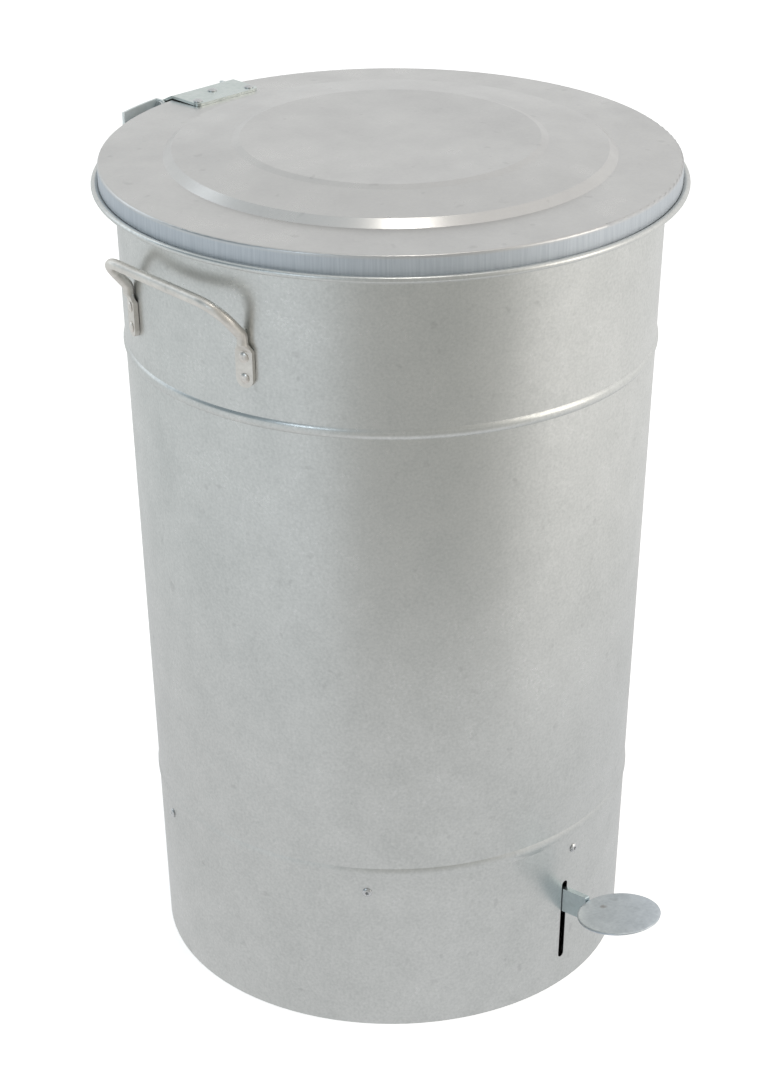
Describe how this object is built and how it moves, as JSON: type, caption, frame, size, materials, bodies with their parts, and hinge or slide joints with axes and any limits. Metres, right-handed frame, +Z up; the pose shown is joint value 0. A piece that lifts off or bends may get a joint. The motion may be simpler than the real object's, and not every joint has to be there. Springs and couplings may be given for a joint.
{
  "type": "pedal bin with lid",
  "caption": "Round tapered galvanized steel pedal bin with a rear-hinged stepped lid, two side bar handles and a foot lever that lifts the lid by an inner push rod.",
  "frame": {"origin": "on the can's axis, at the plane of its base ring, where it stands on the floor", "axes": "+Z up along the can's axis; the pedal is at -Y and the lid hinge at +Y; +X is to the right of someone who stands at the pedal's opposite side looking along +Y"},
  "size_m": [0.4464, 0.5085, 0.6596],
  "materials": {
    "galvanized_sheet": "satin",
    "galvanized_bar": "satin",
    "zinc_plate": "satin",
    "rivet_aluminium": "satin"
  },
  "bodies": {
    "can": {"body_shell": "galvanized_sheet", "floor_pan": "galvanized_sheet", "floor_rivets": "rivet_aluminium", "hinge_bracket": "zinc_plate", "hinge_bracket_rivets": "rivet_aluminium", "rod_cover": "galvanized_sheet", "rod_cover_rivets": "rivet_aluminium", "handle_left": "galvanized_bar", "handle_right": "galvanized_bar", "handle_left_rivets": "rivet_aluminium", "handle_right_rivets": "rivet_aluminium", "hinge_pin": "zinc_plate", "pivot_bracket": "zinc_plate", "pivot_bolt": "zinc_plate", "pivot_nut": "zinc_plate"},
    "lid": {"lid_panel": "galvanized_sheet", "lid_hinge_plate": "zinc_plate", "lid_arm": "zinc_plate", "lid_rivets": "rivet_aluminium", "arm_pin": "zinc_plate"},
    "rod": {"push_rod": "zinc_plate", "push_rod_head": "zinc_plate", "rod_clip": "zinc_plate"},
    "pedal": {"pedal_lever": "zinc_plate", "pedal_plate": "zinc_plate"}
  },
  "joints": [
    {"name": "lid_hinge", "type": "hinge", "parent": "can", "child": "lid", "pos_m": [0, 0.2225, 0.6385], "axis": [-1, 0, 0], "range_deg": [0, 72]},
    {"name": "rod_slide", "type": "slide", "parent": "can", "child": "rod", "axis": [0, 0.0419, 0.9991], "range_m": [0, 0.0448]},
    {"name": "pedal_pivot", "type": "hinge", "parent": "can", "child": "pedal", "pos_m": [0.0068, -0.012, 0.0605], "axis": [1, 0, 0], "range_deg": [0, 14.3]}
  ],
  "couplings": [
    {"joint": "rod_slide", "follows": "lid_hinge", "m_per_rad": 0.03558},
    {"joint": "pedal_pivot", "follows": "lid_hinge", "ratio": 0.19722}
  ]
}
